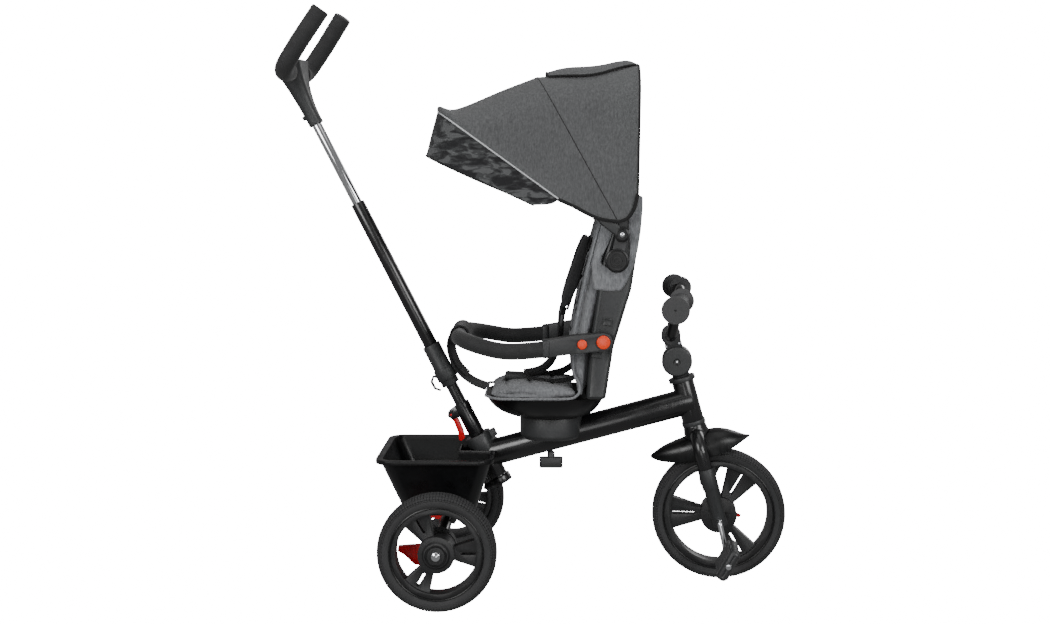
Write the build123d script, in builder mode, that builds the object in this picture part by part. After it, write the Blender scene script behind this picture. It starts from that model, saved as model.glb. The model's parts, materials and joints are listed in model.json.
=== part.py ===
"""A child's tricycle with a swivelling seat, a folding canopy and a telescopic steering push bar.

Millimetres. +X is ahead, +Y is the rider's left when facing ahead, +Z is up, and the floor is Z = 0.
The seat is stored facing back, towards whoever pushes, and the front wheel stands slightly turned.
"""

import os
from math import atan2, cos, degrees, radians, sin

from build123d import *

os.makedirs("parts", exist_ok=True)

# Driving dimensions
rear_x = -168.6            # the rear axle, placed so that the origin is midway along the tricycle
wheelbase = 517.0
rear_r = 105.0             # rear tyre
front_r = 125.0            # front tyre
tyre_w = 42.0
track = 420.0
axle_r = 5.0
run = 0.05                 # radial clearance of a running fit
head_tilt = 15.6           # steering axis, from upright
pole_tilt = 27.0           # push bar, from upright
tube_slope = 15.0          # main tube, from level
rest_turn = -5.5           # how far the steering and the push bar are turned as stored
tube_r = 25.0              # main tube
seat_ahead = 200.0         # seat swivel axis, ahead of the rear axle
shell_half = 118.0         # half width of the backrest
arm_in = 121.5             # inner face of a bumper bar arm
arm_out = 147.0
bar_y = 134.0              # centre line of the bumper bar's sides
lift_at = (291.0, 466.0)   # bumper bar pivot, ahead of the rear axle and up
tilt_at = (315.0, 609.0)   # canopy tilt pivot
fold_at = (323.5, 655.0)   # canopy fold pivot
crank = 56.0
crank_lead = 13.0          # the crank's turn ahead of straight down
pedal_y = 122.0
socket_top = 66.0          # distances along the push bar from its housing
collar_low = 107.0
collar_top = 172.0
mid_top = 488.0
chrome_top = 668.0
horn_y = 90.0
hood_wall = 2.5

# Frames: each is a plane whose local x is ahead, local y is left and local z is up its axis
trike = Plane(origin=(rear_x, 0, 0))
hub = (rear_x + wheelbase, 0, front_r)
pole_foot = (rear_x + 60, 0, 275)


def leaning(origin, tilt, turn=0.0):
    """A frame whose upward axis leans back by tilt, and which is then turned about that axis."""
    lean, swing = radians(tilt), radians(turn)
    return Plane(origin=origin, x_dir=(cos(lean) * cos(swing), sin(swing), sin(lean) * cos(swing)),
                 z_dir=(-sin(lean), 0, cos(lean)))


head = leaning(hub, head_tilt)
steer = leaning(hub, head_tilt, rest_turn)
sleeve = leaning(pole_foot, pole_tilt)
pole = leaning(pole_foot, pole_tilt, rest_turn)
tube = leaning((rear_x + 217, 0, 273.8), tube_slope - 90)   # upward axis runs ahead along the tube


def at(frame, *point):
    """A point given in a frame's own x, y and z."""
    return frame.from_local_coords(point)


def side(frame, y=0.0):
    """An upright plane of a frame seen from its right: local x is ahead, local y is up."""
    return Plane(origin=at(frame, 0, y, 0), x_dir=frame.x_dir, z_dir=-frame.y_dir)


def shift(x, z, frame=trike):
    """A frame moved ahead and up in its own directions."""
    return Plane(origin=at(frame, x, 0, z), x_dir=frame.x_dir, z_dir=frame.z_dir)


def rod(start, end, radius, mode=Mode.ADD):
    """A round bar between two points."""
    with BuildSketch(Plane(origin=start, z_dir=Vector(end) - Vector(start))) as section:
        Circle(radius)
    extrude(section.sketch, amount=(Vector(end) - Vector(start)).length, mode=mode)


def disc(frame, y_from, y_to, radius, mode=Mode.ADD):
    """A round slice on a frame's local y axis, between two distances to its left."""
    rod(at(frame, 0, y_from, 0), at(frame, 0, y_to, 0), radius, mode)


def bent_bar(points, bend, radius, mode=Mode.ADD):
    """A round bar along straight runs joined by tangent bends."""
    with BuildLine() as route:
        FilletPolyline(*points, radius=bend)
    with BuildSketch(Plane(origin=route.line @ 0, z_dir=route.line % 0)) as section:
        Circle(radius)
    sweep(section.sketch, path=route.line, mode=mode)


def slab(frame, outline, y_from, y_to, mode=Mode.ADD):
    """A side outline with straight edges, given thickness from one distance left to another."""
    with BuildSketch(side(frame, y_to)) as section:
        with BuildLine():
            Polyline(*outline, close=True)
        make_face()
    extrude(section.sketch, amount=y_to - y_from, mode=mode)


def save(piece, name):
    """Label a finished piece and write its STEP file."""
    piece.part.label = name
    export_step(piece.part, f"parts/{name}.step")


def turning(frame, points, mode=Mode.ADD):
    """A solid turned about a frame's local y axis: points are (radius, distance left)."""
    with BuildSketch(frame) as section:
        with BuildLine():
            Polyline(*points, close=True)
        make_face()
    revolve(section.sketch, axis=Axis(frame.origin, frame.y_dir), mode=mode)


# ---- Frame ----
stay_top = at(trike, 72, 0, 222)
stay_foot = at(trike, 6, 0, 108)
with BuildPart() as main_frame:
    rod(at(tube, 0, 0, -143), at(tube, 0, 0, 255), tube_r)
    rod(at(head, 0, 0, 184), at(head, 0, 0, 262), 20.5)
    rod(at(sleeve, 0, 0, -88), at(sleeve, 0, 0, -1), 17)
    rod(stay_top, stay_foot, 13)
    rod(at(trike, 0, -165, rear_r), at(trike, 0, 165, rear_r), 12)
    rod(at(tube, 0, 0, -118), at(tube, 0, 0, 226), tube_r - 1.8, Mode.SUBTRACT)
    rod(at(head, 0, 0, 183), at(head, 0, 0, 263), 16, Mode.SUBTRACT)
    rod(at(sleeve, 0, 0, -89), at(sleeve, 0, 0, 0), 13.5, Mode.SUBTRACT)
    rod(at(trike, 0, -166, rear_r), at(trike, 0, 166, rear_r), axle_r, Mode.SUBTRACT)
    rod(at(trike, seat_ahead, 0, 230), at(trike, seat_ahead, 0, 330), 5.2, Mode.SUBTRACT)
save(main_frame, "main_frame")

with BuildPart() as rear_axle:
    rod(at(trike, 0, -243, rear_r), at(trike, 0, 243, rear_r), axle_r)
save(rear_axle, "rear_axle")

rear_hub = shift(0, rear_r)
with BuildPart() as axle_nuts:
    for hand in (-1, 1):
        turning(rear_hub, [(axle_r, hand * 238.4), (8.8, hand * 238.4), (8.8, hand * 241.5),
                                     (7, hand * 244.2), (3, hand * 246), (0, hand * 246),
                                     (0, hand * 243), (axle_r, hand * 243)])
save(axle_nuts, "axle_nuts")

with BuildPart() as brake_housings:
    for hand in (-1, 1):
        turning(rear_hub, [(12, hand * 148), (22, hand * 148), (27, hand * 154), (27, hand * 186.5),
                                     (axle_r, hand * 186.5), (axle_r, hand * 165), (12, hand * 165)])
save(brake_housings, "brake_housings")


def tub_plan(z, back, front, half, corner, notch, gap_half):
    """A level plan of the tub: a rounded rectangle with a notch from its front for the stay."""
    with BuildSketch(trike.offset(z)) as plan:
        with Locations(((back + front) / 2, 0)):
            RectangleRounded(front - back, 2 * half, corner)
        with Locations((notch + 100, 0)):
            Rectangle(200, 2 * gap_half, mode=Mode.SUBTRACT)
    return plan.sketch


tub_low, tub_high, tub_wall = 143.5, 241.0, 2.5
notch_half = 29.0
wall_half = notch_half + tub_wall
with BuildPart() as basket:
    loft([tub_plan(tub_low, -67, 60, 106, 24, 2, notch_half),
          tub_plan(tub_high, -109, 90, 126, 24, 30, notch_half)], ruled=True)
    extrude(tub_plan(tub_high, -119, 95, 134, 32, 30, notch_half), amount=8)
    loft([tub_plan(tub_low + tub_wall, -64.5, 57.5, 103.5, 24, -0.5, wall_half),
          tub_plan(tub_high, -106.5, 87.5, 123.5, 24, 27.5, wall_half)], ruled=True, mode=Mode.SUBTRACT)
    extrude(tub_plan(tub_high, -106.5, 87.5, 123.5, 24, 27.5, wall_half), amount=8, mode=Mode.SUBTRACT)
save(basket, "basket")

with BuildPart() as post_housing:
    rod(at(sleeve, 0, 0, -34), at(sleeve, 0, 0, -1), 25)
    slab(sleeve, [(0, -18), (34, -18), (34, -4), (0, -4)], -9, 9)
    rod(at(sleeve, 0, 0, -35), at(sleeve, 0, 0, 0), 17, Mode.SUBTRACT)
    rod(at(tube, 0, 0, -170), at(tube, 0, 0, 0), tube_r, Mode.SUBTRACT)
    rod(stay_foot, stay_top, 13, Mode.SUBTRACT)
save(post_housing, "post_housing")

with BuildPart() as headset_cups:
    rod(at(head, 0, 0, 176), at(head, 0, 0, 184), 22.5)
    rod(at(head, 0, 0, 184), at(head, 0, 0, 196), 16)
    rod(at(head, 0, 0, 250), at(head, 0, 0, 262), 16)
    rod(at(head, 0, 0, 262), at(head, 0, 0, 270), 25)
    rod(at(head, 0, 0, 175), at(head, 0, 0, 271), 11 + run, Mode.SUBTRACT)
save(headset_cups, "headset_cups")

drum = shift(seat_ahead, 0)
with BuildPart() as seat_mount:
    rod(at(drum, 0, 0, 270), at(drum, 0, 0, 312), 58.5)
    fillet(seat_mount.edges().filter_by(GeomType.CIRCLE).group_by(Axis.Z)[0], 9)
    rod(at(drum, 0, 0, 312), at(drum, 0, 0, 321), 12)
    rod(at(tube, 0, 0, -100), at(tube, 0, 0, 100), tube_r, Mode.SUBTRACT)
    rod(at(drum, 0, 0, 260), at(drum, 0, 0, 308), 4 + run, Mode.SUBTRACT)
save(seat_mount, "seat_mount")

with BuildPart() as clamp_knob:
    rod(at(drum, 0, 0, 226), at(drum, 0, 0, 307), 4)
    rod(at(drum, 0, 0, 226), at(drum, 0, 0, 241.5), 7)
    with BuildSketch(drum.offset(211)):
        RectangleRounded(44, 15, 6)
    extrude(amount=20)
save(clamp_knob, "clamp_knob")

# ---- Steering ----
leg_y = 46.0
leg_bend = 32.0
legs = [at(steer, 0, -leg_y, 70), at(steer, 0, -leg_y, 158), at(steer, 0, leg_y, 158), at(steer, 0, leg_y, 70)]
with BuildPart() as fork:
    bent_bar(legs, leg_bend, 13)
    with BuildSketch(steer.offset(147)):
        Ellipse(26, 25)
    with BuildSketch(steer.offset(175.7)):
        Circle(21)
    loft()
    rod(at(steer, 0, 0, 150), at(steer, 0, 0, 286), 11)
    for leg in (-leg_y, leg_y):
        rod(at(steer, 0, leg, 69), at(steer, 0, leg, 120), 10.8, Mode.SUBTRACT)
save(fork, "fork")

with BuildPart() as fork_sleeves:
    for leg in (-leg_y, leg_y):
        rod(at(steer, 0, leg, -12), at(steer, 0, leg, 70), 13.4)
        rod(at(steer, 0, leg, 60), at(steer, 0, leg, 98), 15)
        rod(at(steer, 0, leg, 70), at(steer, 0, leg, 99), 13, Mode.SUBTRACT)
    disc(steer, -70, 70, 5 + run, Mode.SUBTRACT)
save(fork_sleeves, "fork_sleeves")

fender_skin = 2.8
fender_stations = ((-95, 3, 138.5, 134.5), (-76, 16, 147, 124.5), (-40, 28, 155, 117), (0, 33, 159.5, 114),
                   (35, 32, 159, 115.5), (65, 22, 147.5, 121), (94.5, 3, 132, 128.5))


def fender_section(ahead, half, top, bottom):
    """A slice across the fender: upright sides and a rounded crown."""
    across = Plane(origin=at(steer, ahead, 0, 0), x_dir=steer.y_dir, z_dir=steer.x_dir)
    with BuildSketch(across) as section:
        with BuildLine():
            FilletPolyline((-half, bottom), (-half, top), (half, top), (half, bottom),
                           radius=min(0.9 * half, 0.75 * (top - bottom)))
            Line((half, bottom), (-half, bottom))
        make_face()
    return section.sketch


with BuildPart() as front_fender:
    loft([fender_section(*station) for station in fender_stations])
    loft([fender_section(0.92 * ahead, half - fender_skin, top - fender_skin, 100)
          for ahead, half, top, bottom in fender_stations[1:-1]], mode=Mode.SUBTRACT)
    bent_bar(legs, leg_bend, 13.5, Mode.SUBTRACT)
    with BuildSketch(steer.offset(135)):
        Ellipse(27, 26)
    extrude(amount=40, mode=Mode.SUBTRACT)
save(front_fender, "front_fender")

knuckle = shift(0, 301.4, steer)
clamp = shift(1.5, 351, steer)
with BuildPart() as stem_knuckle:
    disc(knuckle, -19, 19, 28.5)
    fillet(stem_knuckle.edges().filter_by(GeomType.CIRCLE), 4)
    rod(at(steer, 0, 0, 270.6), at(steer, 0, 0, 300), 16)
    rod(at(steer, 0, 0, 270), at(steer, 0, 0, 286), 11, Mode.SUBTRACT)
save(stem_knuckle, "stem_knuckle")

with BuildPart() as bar_clamp:
    slab(steer, [(-15, 322), (17, 322), (17, 351), (-13, 351)], -17, 17)
    disc(clamp, -18.5, 18.5, 18)
    disc(knuckle, -30, 30, 28.5, Mode.SUBTRACT)
    disc(clamp, -22, 22, 9.5, Mode.SUBTRACT)
save(bar_clamp, "bar_clamp")

grip_in = (40.0, 118.0, 421.0)    # where each grip begins, in the steering frame, and where it ends
grip_end = (27.0, 218.0, 418.0)


def bar_route(hand):
    """The handlebar's corners from its middle to one end."""
    return [at(steer, 1.5, 0, 351), at(steer, 1.5, hand * 34, 351), at(steer, 38, hand * 74, 421),
            at(steer, grip_in[0], hand * grip_in[1], grip_in[2]),
            at(steer, grip_end[0], hand * grip_end[1], grip_end[2])]


with BuildPart() as handlebar:
    for hand in (-1, 1):
        route = bar_route(hand)
        bent_bar(route[:4], 22, 9.5)
        rod(route[3], route[4], 9.5)
save(handlebar, "handlebar")

for hand, name in ((-1, "grip_right"), (1, "grip_left")):
    start = Vector(bar_route(hand)[3])
    end = Vector(bar_route(hand)[4])
    along = (end - start).normalized()
    with BuildPart() as grip:
        rod(start + along * 2, end + along * 4, 14.5)
        rod(start + along * 2, start + along * 6, 22)
        rod(end - along * 1, end + along * 4, 24.5)
        rod(start, end, 9.5, Mode.SUBTRACT)
    save(grip, name)


# ---- Wheels ----
def rim(frame, lip, well, hub_half, hub_r, spoke_at, spoke_half, bore):
    """A moulded wheel with three fan-shaped slotted spokes, turning on a frame's local y axis."""
    disc(frame, -16, 16, well)
    disc(frame, -17, 17, lip, Mode.SUBTRACT)
    disc(frame, -hub_half, hub_half, hub_r)
    root = hub_r - 2
    inner, outer = spoke_half
    with BuildSketch(side(frame)) as spokes:
        for turn in spoke_at:
            with Locations(Rotation(0, 0, turn)):
                with Locations(((root + lip) / 2 + 1, 0)):
                    Trapezoid(2 * outer, lip - root + 2, degrees(atan2(lip - root + 2, outer - inner)),
                              rotation=90)
                with Locations(((root + lip) / 2 + 4, 0)):
                    SlotOverall(lip - root - 14, 5, mode=Mode.SUBTRACT)
    extrude(spokes.sketch, amount=9, both=True)
    disc(frame, -60, 60, bore, Mode.SUBTRACT)


def tyre(frame, outer, seat_r):
    """A solid foam tyre with a rounded section, on a frame's local y axis."""
    half = tyre_w / 2
    turning(frame, [(seat_r, -16), (seat_r, 16), (seat_r + 4, half - 2), (seat_r + 10, half),
                              (outer - 7, half - 3), (outer - 2, half - 10), (outer, half - 16),
                              (outer, 16 - half), (outer - 2, 10 - half), (outer - 7, 3 - half),
                              (seat_r + 10, -half), (seat_r + 4, 2 - half)])


for hand, word, spokes in ((-1, "right", (0, 120, 240)), (1, "left", (-12, 108, 228))):
    wheel = Plane(origin=at(rear_hub, 0, hand * track / 2, 0), x_dir=(1, 0, 0), z_dir=(0, 0, 1))
    with BuildPart() as rear_rim:
        rim(wheel, 71, 81, 22, 32, spokes, (12, 26), axle_r + run)
        turning(wheel, [(6, hand * 20), (26, hand * 20), (21.5, hand * 27), (13, hand * 28),
                                  (6, hand * 28)])
    save(rear_rim, f"rear_rim_{word}")
    with BuildPart() as rear_tyre:
        tyre(wheel, rear_r, 81)
    save(rear_tyre, f"rear_tyre_{word}")
    with BuildPart() as brake_lever:
        slab(rear_hub, [(-72, -1), (-73, -9), (-60, -17), (-44, -33), (-26, -36), (-15, -24), (-15, 18),
                        (-30, 2), (-49, 1)],
             min(hand * 160, hand * 172), max(hand * 160, hand * 172))
        disc(rear_hub, hand * 158, hand * 178, 31)
        disc(rear_hub, hand * 150, hand * 190, 27 + run, Mode.SUBTRACT)
    save(brake_lever, f"brake_lever_{word}")

with BuildPart() as front_rim:
    rim(steer, 91, 103, 20, 34, [turn - head_tilt for turn in (60, 180, 300)], (13, 33), 5 + run)
    disc(steer, 15.5, 21, 13, Mode.SUBTRACT)
save(front_rim, "front_rim")

with BuildPart() as front_tyre:
    tyre(steer, front_r, 103)
save(front_tyre, "front_tyre")

with BuildPart() as clutch_lever:
    disc(steer, 20.2, 28, 12)
    slab(steer, [(0, -4), (34, -17), (40, -22), (36, -26), (0, -12)], 24.6, 28.4)
    disc(steer, 10, 40, 5 + run, Mode.SUBTRACT)
save(clutch_lever, "clutch_lever")

# The crank's pin lies at an angle below the hub that is measured in the turned steering frame
crank_turn = radians(crank_lead - head_tilt)
crank_x = crank * sin(crank_turn)
crank_z = -crank * cos(crank_turn)
with BuildPart() as pedal_crank:
    for hand in (-1, 1):
        bent_bar([at(steer, 0, 0, 0), at(steer, 0, hand * 67.5, 0),
                  at(steer, -hand * crank_x, hand * 70.5, -hand * crank_z),
                  at(steer, -hand * crank_x, hand * (pedal_y + 44), -hand * crank_z)], 7.5, 5)
save(pedal_crank, "pedal_crank")

for hand, name in ((-1, "pedal_right"), (1, "pedal_left")):
    spindle = shift(-hand * crank_x, -hand * crank_z, steer)
    low = min(hand * (pedal_y - 42), hand * (pedal_y + 42))
    with BuildPart() as pedal:
        with BuildSketch(side(spindle, low + 84)):
            SlotOverall(62, 23, rotation=62 - head_tilt)
        extrude(amount=84)
        disc(spindle, low - 1, low + 90, 5 + run, Mode.SUBTRACT)
    save(pedal, name)

# ---- Push bar ----
lever_pivot = shift(-26, 55, pole)
with BuildPart() as push_post:
    rod(at(pole, 0, 0, -101), at(pole, 0, 0, 2), 13)
    rod(at(pole, 0, 0, 0), at(pole, 0, 0, socket_top), 15)
    rod(at(pole, 0, 0, -104), at(pole, 0, 0, -91), 21)
    rod(at(pole, 0, 0, 60), at(pole, 0, 0, collar_low + 60), 11)
    slab(pole, [(0, -104), (-32, -104), (-37, -99), (-32, -93), (0, -93)], -6, 6)
    slab(pole, [(-12, 66), (-28, 63), (-33, 55), (-28, 46), (-12, 44)], -9, 9)
    rod(at(pole, 0, 0, -105), at(pole, 0, 0, -20), 9, Mode.SUBTRACT)
    rod(at(pole, 0, 0, -20), at(pole, 0, 0, collar_low + 61), 8, Mode.SUBTRACT)
    disc(lever_pivot, -20, 20, 2 + run, Mode.SUBTRACT)
    slab(pole, [(-35, 70), (-17.5, 70), (-17.5, 40), (-35, 40)], -5.5, 5.5, Mode.SUBTRACT)
save(push_post, "push_post")

with BuildPart() as release_lever:
    disc(lever_pivot, -5, 5, 6)
    slab(pole, [(-31, 56), (-21, 56), (-18.5, 40), (-20, 18), (-24, 3), (-33, 1), (-35, 6), (-30, 20),
                (-28, 40)], -5, 5)
    disc(lever_pivot, -9, 9, 2)
save(release_lever, "release_lever")

with BuildPart() as push_tube:
    rod(at(pole, 0, 0, collar_top), at(pole, 0, 0, mid_top), 13)
    rod(at(pole, 0, 0, collar_top - 1), at(pole, 0, 0, mid_top + 1), 9.2 + run, Mode.SUBTRACT)
save(push_tube, "push_tube")

with BuildPart() as tube_collar:
    rod(at(pole, 0, 0, collar_low), at(pole, 0, 0, collar_top + 18), 17)
    rod(at(pole, 0, 0, collar_low + 12), at(pole, 0, 0, collar_low + 34), 19.5)
    rod(at(pole, 0, 0, collar_top), at(pole, 0, 0, collar_top + 19), 13, Mode.SUBTRACT)
    rod(at(pole, 0, 0, collar_low - 1), at(pole, 0, 0, collar_low + 60), 11, Mode.SUBTRACT)
    slab(pole, [(-24, collar_low + 13), (-14, collar_low + 13), (-14, collar_low + 33),
                (-24, collar_low + 33)], -3, 3, Mode.SUBTRACT)
    disc(shift(-16.5, collar_low + 23, pole), -10, 10, 1.5 + run, Mode.SUBTRACT)
save(tube_collar, "tube_collar")

hook = shift(-16.5, collar_low + 23, pole)
with BuildPart() as hook_lever:
    disc(hook, -9, 9, 1.5)
    slab(hook, [(2, 2.5), (-8, 6), (-17, -2), (-17, -18), (-8, -27), (-5, -25), (-13, -17), (-13, -4),
                (-7, 2), (-2, -2)], -2.6, 2.6)
save(hook_lever, "hook_lever")

with BuildPart() as upper_tube:
    rod(at(pole, 0, 0, 340), at(pole, 0, 0, chrome_top + 30), 9.2)
    rod(at(pole, 0, 0, 339), at(pole, 0, 0, chrome_top + 31), 7.7, Mode.SUBTRACT)
save(upper_tube, "upper_tube")

neck_x, neck_z = 10.0, 752.0      # middle of the handle's cross tube, in the push bar's frame
with BuildPart() as handle_neck:
    for z, x, deep, wide in ((651, 0, 27, 27), (700, 1, 30, 36), (765, neck_x - 1, 52, 78)):
        with BuildSketch(Plane(origin=at(pole, x, 0, z), x_dir=pole.x_dir, z_dir=pole.z_dir)):
            RectangleRounded(deep, wide, 12)
    loft()
    rod(at(pole, 0, 0, 650), at(pole, 0, 0, chrome_top + 30), 9.2, Mode.SUBTRACT)
    rod(at(pole, neck_x, -60, neck_z), at(pole, neck_x, 60, neck_z), 12.5, Mode.SUBTRACT)
    rod(at(pole, -30, 0, 671), at(pole, -9.5, 0, 671), 4 + run, Mode.SUBTRACT)
save(handle_neck, "handle_neck")

with BuildPart() as height_button:
    rod(at(pole, -18.5, 0, 671), at(pole, -13, 0, 671), 4)
save(height_button, "height_button")

horn_lean = radians(61.6)         # the horns lean ahead of the pole's own direction


def horn(start, out):
    """A point along a horn, by its distance from the cross tube's middle line."""
    return (neck_x - 12 + start * sin(horn_lean), out, neck_z - 4 + start * cos(horn_lean))


def horn_route(hand):
    """The handle tube's corners from its middle to one tip, in the push bar's frame."""
    return [(neck_x, 0, neck_z), (neck_x, hand * 39, neck_z), horn(6, hand * 84), horn(70, hand * horn_y),
            horn(137, hand * (horn_y - 6))]


with BuildPart() as handle_tube:
    for hand in (-1, 1):
        bent_bar([at(pole, *corner) for corner in horn_route(hand)], (20, 24, 60), 9)
save(handle_tube, "handle_tube")

with BuildPart() as handle_foam:
    for hand in (-1, 1):
        route = horn_route(hand)
        bent_bar([at(pole, *corner) for corner in [(neck_x, hand * 40, neck_z)] + route[2:4]
                  + [horn(141, hand * (horn_y - 6))]], (24, 60), 16.5)
        bent_bar([at(pole, *corner) for corner in [(neck_x, hand * 39, neck_z)] + route[2:4]
                  + [horn(137, hand * (horn_y - 6))]], (24, 60), 9, Mode.SUBTRACT)
save(handle_foam, "handle_foam")

# ---- Seat ----
rim_z = 357.0
dish = ((312.8, 118, 118, 58, 200), (332, 190, 202, 80, 191), (rim_z, 219, 244, 88, 188.5))
with BuildPart() as seat_shell:
    for z, long, wide, corner, middle in dish:
        with BuildSketch(trike.offset(z)):
            with Locations((middle, 0)):
                RectangleRounded(long, wide, corner)
    loft()
    for z, long, wide, corner, middle in ((322, 122, 122, 58, 199), (rim_z, 213, 238, 85, 188.5)):
        with BuildSketch(trike.offset(z)):
            with Locations((middle, 0)):
                RectangleRounded(long, wide, corner)
    loft(mode=Mode.SUBTRACT)
    rod(at(drum, 0, 0, 312), at(drum, 0, 0, 323), 12 + run, Mode.SUBTRACT)
save(seat_shell, "seat_shell")

shell_front = [(262, rim_z + 0.5), (270, 466), (297, 590), (320, 690), (330, 722)]
shell_back = [(361, 722), (358, 660), (343, 557), (312, 454), (299, 366), (297, rim_z + 0.5)]
with BuildPart() as backrest_shell:
    slab(trike, shell_front + shell_back, -shell_half, shell_half)
    slab(trike, [(x - 6, z + (1 if z > 400 else 9)) for x, z in shell_front]
         + [(x - 5, z + (1 if z > 400 else 9)) for x, z in shell_back], 4 - shell_half, shell_half - 4,
         Mode.SUBTRACT)
    for hand in (-1, 1):
        disc(shift(*lift_at), hand * (shell_half - 6), hand * 134, 6)
        disc(shift(*tilt_at), hand * (shell_half - 6), hand * 127, 5)
save(backrest_shell, "backrest_shell")

with BuildPart() as seat_pad:
    slab(trike, [(76, 359), (78, 363), (105, 374), (140, 379), (238, 377), (247, 369), (249, rim_z + 0.5),
                 (84, rim_z + 0.5)], -112, 112)
    fillet(seat_pad.edges().filter_by(Plane.XZ).group_by(Axis.Z)[-1], 8)
save(seat_pad, "seat_pad")

pad_front = [(262, rim_z + 0.5), (251, rim_z + 0.5), (249, 380), (237, 400), (237, 466), (262, 590), (289, 690),
             (298, 722)]
with BuildPart() as backrest_pad:
    slab(trike, pad_front + [(330, 722), (320, 690), (297, 590), (270, 466)], -112, 112)
    fillet(backrest_pad.edges().filter_by(Plane.XZ).group_by(Axis.Y)[0].sort_by(Axis.X)[:3], 7)
save(backrest_pad, "backrest_pad")

with BuildPart() as harness_pads:
    for hand in (-1, 1):
        slab(trike, [(271, 655), (258, 652), (215, 520), (227, 517), (249, 560)],
             hand * 52 - 20, hand * 52 + 20)
save(harness_pads, "harness_pads")

with BuildPart() as harness:
    for hand in (-1, 1):
        slab(trike, [(224, 516.5), (220, 516.5), (216, 460), (200, 410), (176, 391.5), (128, 391.5),
                     (128, 388.5), (178, 388.5), (203, 408), (219, 458)], hand * 30 - 12, hand * 30 + 12)
    slab(trike, [(112, 379.5), (160, 379.5), (160, 391), (150, 394), (118, 394), (112, 388)], -17.5, 17.5)
save(harness, "harness")

# ---- Bumper bar ----
foam_r = 14.0
foam_from = 190.0
with BuildPart() as bumper_foam:
    bent_bar([at(trike, foam_from, -bar_y, 454), at(trike, 118, -bar_y, 446), at(trike, 31, -bar_y, 468),
              at(trike, 31, bar_y, 468), at(trike, 118, bar_y, 446), at(trike, foam_from, bar_y, 454)],
             (60, 78, 78, 60), foam_r)
save(bumper_foam, "bumper_foam")

with BuildPart() as bumper_arms:
    for low, high in ((-arm_out, -arm_in), (arm_in, arm_out)):
        slab(trike, [(foam_from + 2, 469.5), (240, 478), (291, 482), (291, 450), (240, 445),
                     (foam_from + 2, 438.5)],
             low, high)
    lift = shift(*lift_at)
    fold_button = shift(253.5, 462)
    for hand in (-1, 1):
        disc(lift, hand * arm_in, hand * arm_out, 16)
        disc(lift, hand * (arm_in - 1), hand * 134.5, 6 + run, Mode.SUBTRACT)
        disc(lift, hand * 140, hand * 148, 12 + run, Mode.SUBTRACT)
        disc(fold_button, hand * 140, hand * 148, 8.5 + run, Mode.SUBTRACT)
save(bumper_arms, "bumper_arms")

for hand, word in ((-1, "right"), (1, "left")):
    with BuildPart() as lift_button:
        disc(lift, hand * 144, hand * 151, 12)
    save(lift_button, f"lift_button_{word}")
    with BuildPart() as split_button:
        disc(fold_button, hand * 144, hand * 150, 8.5)
    save(split_button, f"split_button_{word}")

bar_front = shift(31, 468)
with BuildPart() as crotch_strap:
    disc(bar_front, -42, 42, foam_r + 3.3)
    slab(trike, [(17, 460), (13.5, 460), (17.5, 412), (36, 386), (74, 362.5), (76, 365), (40, 389),
                 (21, 414)], -14, 14)
    disc(bar_front, -43, 43, foam_r + 0.3, Mode.SUBTRACT)
save(crotch_strap, "crotch_strap")

# ---- Canopy ----
fold_eye = 13.0            # radius of the eyes on the fold pivot, from the arm outwards
arm_eye = (119.0, 125.0)
mid_eye = (125.2, 130.6)
front_eye = (131.0, 136.2)
with BuildPart() as canopy_arms:
    for hand in (-1, 1):
        disc(shift(*tilt_at), hand * 119, hand * 134, 21)
        slab(trike, [(303, 609), (327, 609), (334, 655), (313, 655)],
             min(hand * 119, hand * 125), max(hand * 119, hand * 125))
        disc(shift(*fold_at), hand * arm_eye[0], hand * arm_eye[1], fold_eye)
        disc(shift(*fold_at), hand * arm_eye[0], hand * 137, 4)
        disc(shift(*tilt_at), hand * 118, hand * 127.5, 5 + run, Mode.SUBTRACT)
save(canopy_arms, "canopy_arms")

fold = shift(*fold_at)


def ray(angle):
    """A frame at the fold pivot whose local x runs out along a bow at an angle above ahead."""
    return Plane(origin=at(fold, 0, 0, 0), x_dir=(cos(radians(angle)), 0, sin(radians(angle))),
                 z_dir=(-sin(radians(angle)), 0, cos(radians(angle))))


def arch(angle, near, reach, half, corner):
    """The face under a bow, from near the pivot out to the bow's crown."""
    with BuildSketch(ray(angle)) as face:
        with BuildLine():
            FilletPolyline((near, -half), (reach, -half), (reach, half), (near, half), radius=corner)
            Line((near, half), (near, -half))
        make_face()
    return face.sketch


def panel(start, end, half):
    """A fabric panel between two bows: each is (angle, near, reach)."""
    loft([arch(angle, near, reach, half, 62) for angle, near, reach in (start, end)], ruled=True)
    inside = ((start[0] - 1, start[2]), (end[0] + 1, end[2]))
    loft([arch(angle, 2, reach - hood_wall, half - hood_wall, 62 - hood_wall) for angle, reach in inside],
         ruled=True, mode=Mode.SUBTRACT)


rear_bow = (84.4, 62, 301.5)
mid_bow = (118.3, 44, 317)
front_bow = (147, 66, 391)
brim = (158.5, 150, 376)
with BuildPart() as hood_rear:
    panel(rear_bow, mid_bow, 138)
save(hood_rear, "hood_rear")

with BuildPart() as hood_front:
    panel((mid_bow[0] + 0.2, mid_bow[1], mid_bow[2] + 3), front_bow, 141)
save(hood_front, "hood_front")

with BuildPart() as visor:
    panel((front_bow[0] + 0.2, 128, front_bow[2] + 3), brim, 144)
save(visor, "visor")


bow_r = 2.6


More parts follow.
